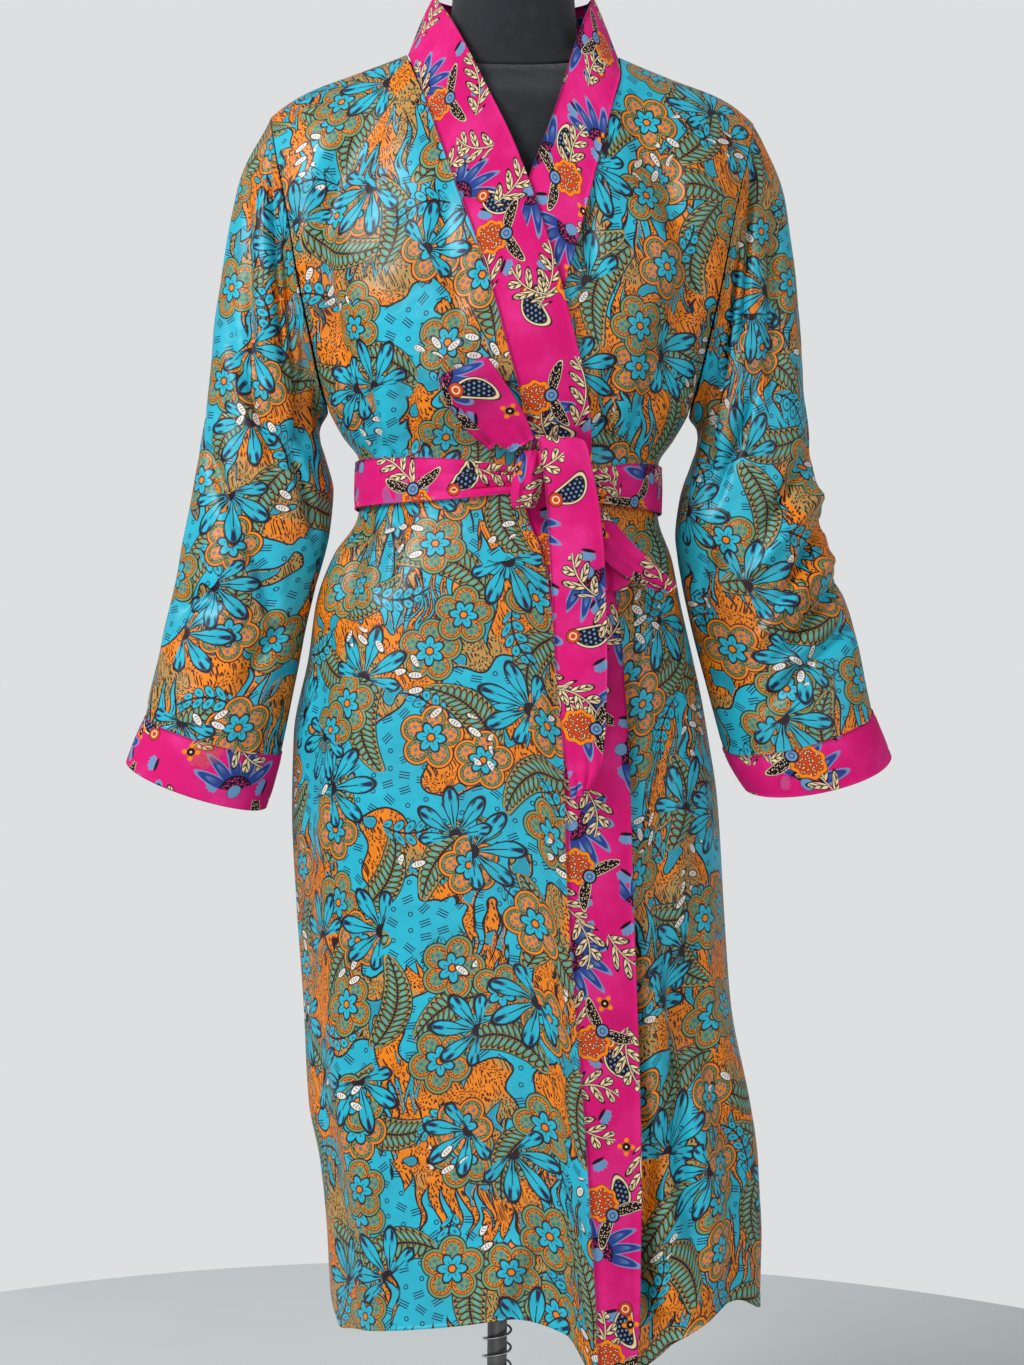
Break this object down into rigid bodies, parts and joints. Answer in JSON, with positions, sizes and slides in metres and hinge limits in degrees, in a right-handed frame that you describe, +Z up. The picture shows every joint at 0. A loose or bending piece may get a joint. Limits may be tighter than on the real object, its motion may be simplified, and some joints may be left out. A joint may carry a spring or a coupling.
{
  "type": "kimono robe on a limbless dress form",
  "caption": "Knee-length printed satin wrap robe with straight sleeves, velvet front band, cuffs and tied belt, worn by a black dress form on a pole stand.",
  "frame": {"origin": "centre of the stand's base on the floor", "axes": "+X to the viewer's right, the wearer's left; +Y to the back of the robe; +Z up"},
  "size_m": [0.7314, 0.36, 1.534],
  "materials": {
    "printed_satin": "turquoise and orange flower print on soft satin",
    "printed_velvet": "magenta velvet with a cream, orange and black leaf print",
    "form_cloth": "fine black jersey",
    "grey_steel": "dull grey tube",
    "bright_wire": "bright wire",
    "black_paint": "satin black paint"
  },
  "bodies": {
    "root": {"robe_front_right": "printed_satin", "robe_front_left": "printed_satin", "robe_back": "printed_satin", "sleeve_right": "printed_satin", "sleeve_left": "printed_satin", "cuff_right": "printed_velvet", "cuff_left": "printed_velvet", "band_front_right": "printed_velvet", "band_front_left": "printed_velvet", "band_neck": "printed_velvet", "belt_waist": "printed_velvet", "belt_knot": "printed_velvet", "belt_loop_upper": "printed_velvet", "belt_loop_lower": "printed_velvet", "belt_tail_front": "printed_velvet", "belt_tail_side": "printed_velvet", "form_torso": "form_cloth", "form_neck": "form_cloth", "stand_pole": "grey_steel", "stand_spring": "bright_wire", "stand_base": "black_paint"}
  },
  "joints": []
}
